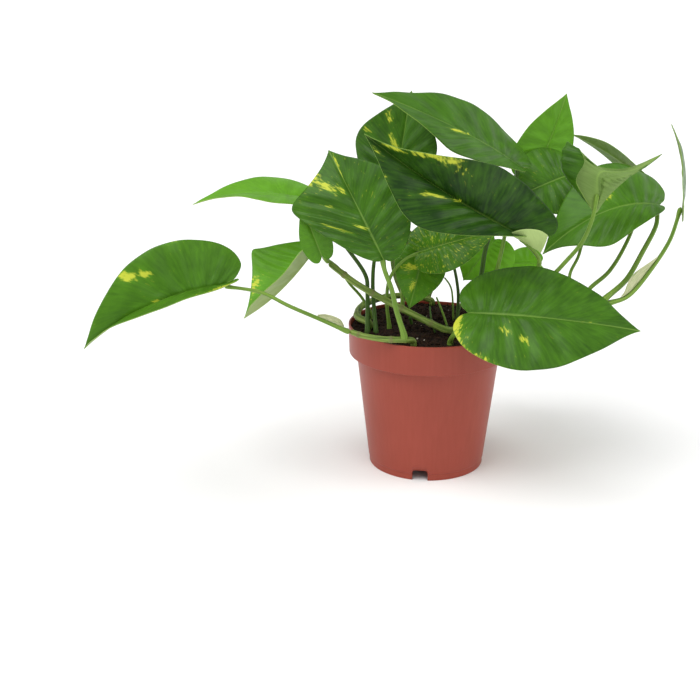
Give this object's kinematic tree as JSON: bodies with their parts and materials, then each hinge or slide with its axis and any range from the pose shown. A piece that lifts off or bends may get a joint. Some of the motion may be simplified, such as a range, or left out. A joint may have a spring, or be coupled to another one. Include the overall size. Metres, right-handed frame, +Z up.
{
  "type": "potted pothos plant",
  "caption": "Trailing pothos with heart-shaped variegated leaves on arching stalks, growing from peat in a round tapered plastic nursery pot with a deep rim band.",
  "frame": {"origin": "middle of the whole plant's bounding box, at floor level under the pot's foot ring", "axes": "+Z up along the pot's axis, -Y the plant's front, +X to the right of a viewer in front; the leaves spread furthest along X"},
  "size_m": [0.4317, 0.221, 0.2832],
  "materials": {
    "terracotta_plastic": "satin moulded",
    "peat": "loose crumbs",
    "leaf": "waxy, satin gloss",
    "vine": "smooth, satin",
    "stalk": "smooth, satin",
    "dry_sheath": "dry, thin"
  },
  "bodies": {
    "root": {"pot": "terracotta_plastic", "soil": "peat", "leaf_front_low": "leaf", "leaf_left": "leaf", "leaf_left_high": "leaf", "leaf_left_low": "leaf", "leaf_centre": "leaf", "leaf_centre_back": "leaf", "leaf_top": "leaf", "leaf_front_high": "leaf", "leaf_right_top": "leaf", "leaf_right_back": "leaf", "leaf_right_thin": "leaf", "leaf_saddle": "leaf", "leaf_right": "leaf", "leaf_far_right": "leaf", "leaf_back_low": "leaf", "leaf_back_right": "leaf", "leaf_small_middle": "leaf", "leaf_small_low": "leaf", "leaf_small_left": "leaf", "leaf_back_hanging": "leaf", "leaf_back_over_rim": "leaf", "vine_main": "vine", "vine_front": "vine", "vine_right": "vine", "vine_back": "vine", "stalk_front_low": "stalk", "stalk_left": "stalk", "stalk_left_high": "stalk", "stalk_left_low": "stalk", "stalk_centre": "stalk", "stalk_centre_back": "stalk", "stalk_top": "stalk", "stalk_front_high": "stalk", "stalk_right_top": "stalk", "stalk_right_back": "stalk", "stalk_right_thin": "stalk", "stalk_saddle": "stalk", "stalk_right": "stalk", "stalk_far_right": "stalk", "stalk_back_low": "stalk", "stalk_back_right": "stalk", "stalk_small_middle": "stalk", "stalk_small_low": "stalk", "stalk_small_left": "stalk", "stalk_back_hanging": "stalk", "stalk_back_over_rim": "stalk", "sheath_right": "dry_sheath", "sheath_front": "dry_sheath"}
  },
  "joints": []
}
